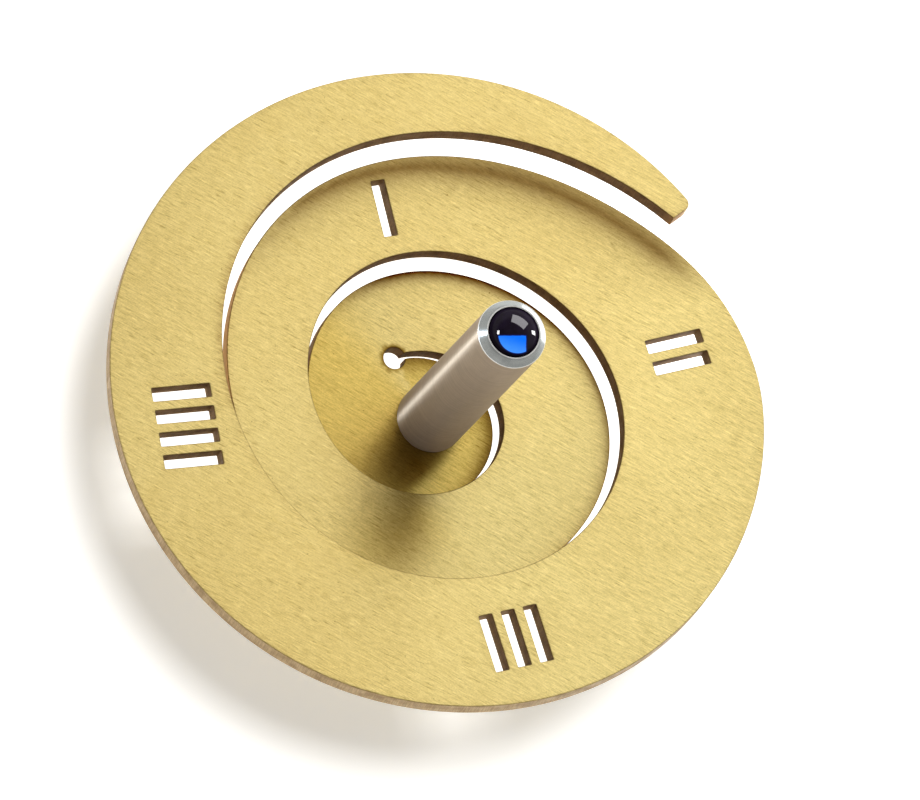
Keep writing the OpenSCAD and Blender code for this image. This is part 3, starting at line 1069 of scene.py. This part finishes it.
def build_foot():
    """Ball-tipped cone, collar under the sheet, and a peg up through it into the stem."""
    cone_top, cone_r, tip_r = 8.3, 3.0, 0.8
    collar_top = TOP_Z - SHEET
    rise = cone_top - tip_r
    tangent = math.atan2(rise, cone_r) - math.acos(tip_r / math.hypot(cone_r, rise))
    profile = [(0, 0.0)]
    for k in range(1, 13):
        angle = -math.pi / 2 + (tangent + math.pi / 2) * k / 12
        profile.append((tip_r * math.cos(angle), tip_r + tip_r * math.sin(angle)))
    tip_x, tip_z = profile[-1]
    cone = [(tip_x + (cone_r - tip_x) * t, tip_z + (cone_top - tip_z) * t)
            for t in (0.25, 0.5, 0.75)]
    # stations (r, z, rounding)
    upper = fillet([
        (*cone[-1], 0), (cone_r, cone_top, 0.12), (ROD_R - ROD_EDGE, cone_top, 0.04),
        (ROD_R, cone_top + ROD_EDGE, 0.05), (ROD_R, collar_top - ROD_EDGE, 0.05),
        (ROD_R - ROD_EDGE, collar_top, 0.03), (1.46, collar_top, 0.05),
        (1.46, 18.35, 0.04), (1.31, 18.5, 0.04), (0, 18.5, 0),
    ], steps=3)
    return lathe("pointed_foot", profile + cone[:-1] + upper, [FOOT_MAT], segments=144)


sheet = SheetMesh().build()
register(sheet, "spiral_disc")
stem = build_stem()
register(stem, "stem")
stone = build_stone()
register(stone, "cabochon")
foil_disc = build_foil()
register(foil_disc, "foil_backing")
foot = build_foot()
register(foot, "foot")


# ---------------------------------------------------------------- floor
def floor_material():
    mat = material("floor_pale")
    cloud = mat.noise(mat.object_coords(), scale=(60, 60, 60), detail=4)
    diffuse = mat.shader("BsdfDiffuse",
                         Color=mat.mix(cloud, (0.86, 0.86, 0.855), (0.90, 0.90, 0.895)))
    camera_ray = mat.node("LightPath").outputs["Is Camera Ray"]
    geometry = mat.node("NewGeometry").outputs
    # painted light: floor seen through the cut and the marks from the main camera glows clean
    # white, where the sheet's shadow would fall
    back = from_view((0, 0, 1))
    shift = back[:2] / back[2] * -17.5 * MM             # the rim thrown on to the floor
    centre = shift + (DRIFT + OFFSET) * MM
    offset = mat.vector("SUBTRACT", geometry["Position"], (*map(float, centre), 0.0))
    under = mat.step(mat.vector("LENGTH", offset), over=(0.0335, 0.0305))
    facing = mat.vector("DOT_PRODUCT", geometry["Incoming"], tuple(map(float, back)))
    facing = mat.step(facing, over=(0.985, 0.995))
    # glow: to the camera 0.36, and 0.83 more where white; 0.13 to other rays
    seen = mat.math("MULTIPLY_ADD", mat.math("MULTIPLY", under, facing), 0.83, 0.36)
    strength = mat.math(
        "ADD", mat.math("MULTIPLY", camera_ray, seen),
        mat.math("MULTIPLY", mat.math("SUBTRACT", 1.0, camera_ray), 0.13))
    glow = mat.shader("Emission", Color=(1, 0.985, 0.97), Strength=strength)
    return mat.finish(mat.node("AddShader", {0: diffuse, 1: glow}).outputs[0])


def build_floor(radius=3.0, points=64):
    """Disc at z = 0; its radius is in metres."""
    mat = floor_material()
    mesh = bpy.data.meshes.new("floor")
    ring = [(radius * math.cos(TAU * k / points), radius * math.sin(TAU * k / points), 0.0)
            for k in range(points)]
    mesh.from_pydata(ring, [], [list(range(points))])
    mesh.materials.append(mat)
    obj = bpy.data.objects.new("floor", mesh)
    bpy.context.scene.collection.objects.link(obj)
    return obj


floor = build_floor()

# ---------------------------------------------------------------- lights
RECEIVERS = {
    "stem_only": [stem],
    "stone_only": [stone],
    "no_stone": [sheet, stem, foot, foil_disc, floor],
    "no_handle": [sheet, foot, foil_disc, floor],
    "sheet_only": [sheet],
    "floor_only": [floor],
}
# name, direction in view axes, distance from the hub, width, height (mm), watts, colour, receivers
AREA_LIGHTS = [
    ("key", (0.38, 0.68, 0.63), 430, 130, 250, 0.288, (1.0, 0.985, 0.955), "no_stone"),
    ("right_card", (0.78, 0.30, 0.55), 300, 180, 240, 0.105, (0.93, 1.0, 1.04), "no_handle"),
    ("sheet_card", (0.76, 0.42, 0.52), 140, 90, 120, 0.013, (0.84, 1.0, 1.18), "sheet_only"),
    ("stem_strip", (-0.82, 0.34, 0.46), 380, 24, 220, 0.62, (0.87, 1.0, 1.15), "stem_only"),
    ("stem_fill", (-0.62, -0.45, 0.62), 380, 500, 520, 0.07, (1, 0.96, 0.91), "stem_only"),
    ("bevel_card", (0.66, 0.39, -0.62), 105, 110, 110, 0.10, (1, 1, 1), "stem_only"),
    ("stone_box", (0.545, 0.798, 0.255), 300, 240, 190, 2.7, (1, 0.98, 1.0), "stone_only"),
    ("stone_dot_left", (-0.506, 0.337, 0.794), 300, 62, 38, 0.65, (1, 1, 1), "stone_only"),
    ("stone_dot_right", (0.955, 0.227, -0.188), 300, 48, 100, 1.3, (1, 1, 1), "stone_only"),
]


def collect(name, objects):
    collection = bpy.data.collections.new(name)
    for obj in objects:
        collection.objects.link(obj)
    return collection


receiver_sets = {name: collect(name, objects) for name, objects in RECEIVERS.items()}


def add_light(name, kind, direction, energy, receivers):
    light = bpy.data.lights.new(name, kind)
    light.energy = energy
    obj = bpy.data.objects.new(name, light)
    obj.rotation_mode = "QUATERNION"
    obj.rotation_quaternion = Vector(direction).to_track_quat("Z", "Y")
    bpy.context.scene.collection.objects.link(obj)
    obj.light_linking.receiver_collection = receiver_sets[receivers]
    return obj


for name, aim, distance, width, height, watts, colour, receivers in AREA_LIGHTS:
    direction = from_view(aim)
    direction = direction / np.linalg.norm(direction)
    lamp = add_light(name, "AREA", direction, watts, receivers)
    lamp.data.shape = "RECTANGLE"
    lamp.data.size = width * MM
    lamp.data.size_y = height * MM
    lamp.data.color = colour
    lamp.location = Vector((HUB + direction * distance) * MM)
    lamp.visible_camera = False

# lifts the pale floor to white outside the object's shadow, and lights nothing else
sun = add_light("floor_light", "SUN", from_view((0.36, 0.40, 0.84)), 2.6, "floor_only")
sun.data.angle = math.radians(24)


# ---------------------------------------------------------------- world
def build_world():
    """Dim studio, brighter towards the key side, with pale walls low down; white to the camera."""
    world = bpy.data.worlds.new("studio")
    bpy.context.scene.world = world
    sky = Nodes(world, "OutputWorld")
    direction = sky.node("TexCoord").outputs["Generated"]
    bright = from_view((0.50, 0.55, 0.67))
    bright /= np.linalg.norm(bright)
    towards = sky.vector("DOT_PRODUCT", direction, tuple(bright))
    share = sky.node("MapRange", {"Value": towards, "From Min": -1, "From Max": 1}).outputs[0]
    ramp = sky.node("ValToRGB", {0: share})
    stops = ramp.color_ramp.elements
    stops[0].position, stops[0].color = 0.0, (0.03, 0.03, 0.031, 1)
    stops[1].position, stops[1].color = 1.0, (0.20, 0.198, 0.195, 1)
    stops.new(0.65).color = (0.035, 0.035, 0.036, 1)
    low_down = sky.step(sky.split(direction)[2], over=(0.66, 0.40))
    room = sky.mix(low_down, ramp.outputs[0], (0.74, 0.73, 0.71))
    studio = sky.shader("Background", Color=room)
    white = sky.shader("Background", Color=(1, 1, 1))
    camera_ray = sky.node("LightPath").outputs["Is Camera Ray"]
    sky.finish(sky.mix_shader(camera_ray, studio, white))


build_world()

# ---------------------------------------------------------------- camera and render
CAMERA_FROM_HUB = (3.03566, 1.964845, 1100.0)           # in view axes
lens_data = bpy.data.cameras.new("camera")
lens_data.sensor_width = 36.0
lens_data.sensor_fit = "HORIZONTAL"
lens_data.lens = 426.08739
lens_data.clip_start, lens_data.clip_end = 0.1, 50.0
camera = bpy.data.objects.new("camera", lens_data)
bpy.context.scene.collection.objects.link(camera)
pose = Matrix(VIEW.tolist()).to_4x4()
pose.translation = Vector((from_view(CAMERA_FROM_HUB) + HUB) * MM)
camera.matrix_world = pose

scene = bpy.context.scene
scene.camera = camera
scene.view_settings.view_transform = "Standard"
scene.view_settings.look = "None"
scene.cycles.max_bounces = 10
scene.cycles.use_denoising = True
